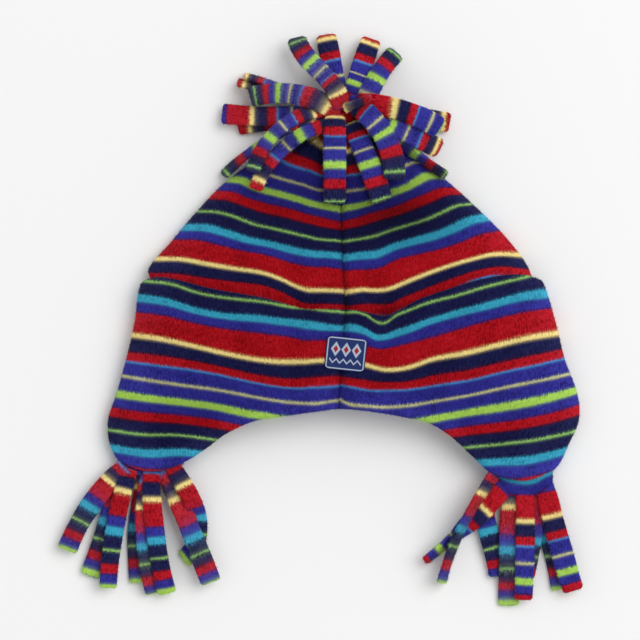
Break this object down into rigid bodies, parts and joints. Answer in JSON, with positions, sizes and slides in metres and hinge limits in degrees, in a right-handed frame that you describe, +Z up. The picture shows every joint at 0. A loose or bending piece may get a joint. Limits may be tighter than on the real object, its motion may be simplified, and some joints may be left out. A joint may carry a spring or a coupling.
{
  "type": "winter hat",
  "caption": "Child's striped fleece winter hat with ear flaps, fringe tassels on the crown and flaps and a small woven label, lying flat, open at the hem for a head.",
  "frame": {"origin": "on the table, under the middle of the lying hat's bounding box", "axes": "+Z up from the table through the hat's front, +Y from the ear flaps towards the crown's fringe, +X across the front to the picture's right"},
  "size_m": [0.3162, 0.343, 0.0385],
  "materials": {
    "crown_fleece": "brushed striped fleece",
    "band_fleece": "brushed striped fleece",
    "label_weave": "satin woven label",
    "fringe_fleece": "brushed striped fleece, cut edges"
  },
  "bodies": {
    "root": {"crown_left": "crown_fleece", "crown_right": "crown_fleece", "band_left": "band_fleece", "band_right": "band_fleece", "label": "label_weave", "top_fringe": "fringe_fleece", "flap_fringe_left": "fringe_fleece", "flap_fringe_right": "fringe_fleece"}
  },
  "joints": []
}
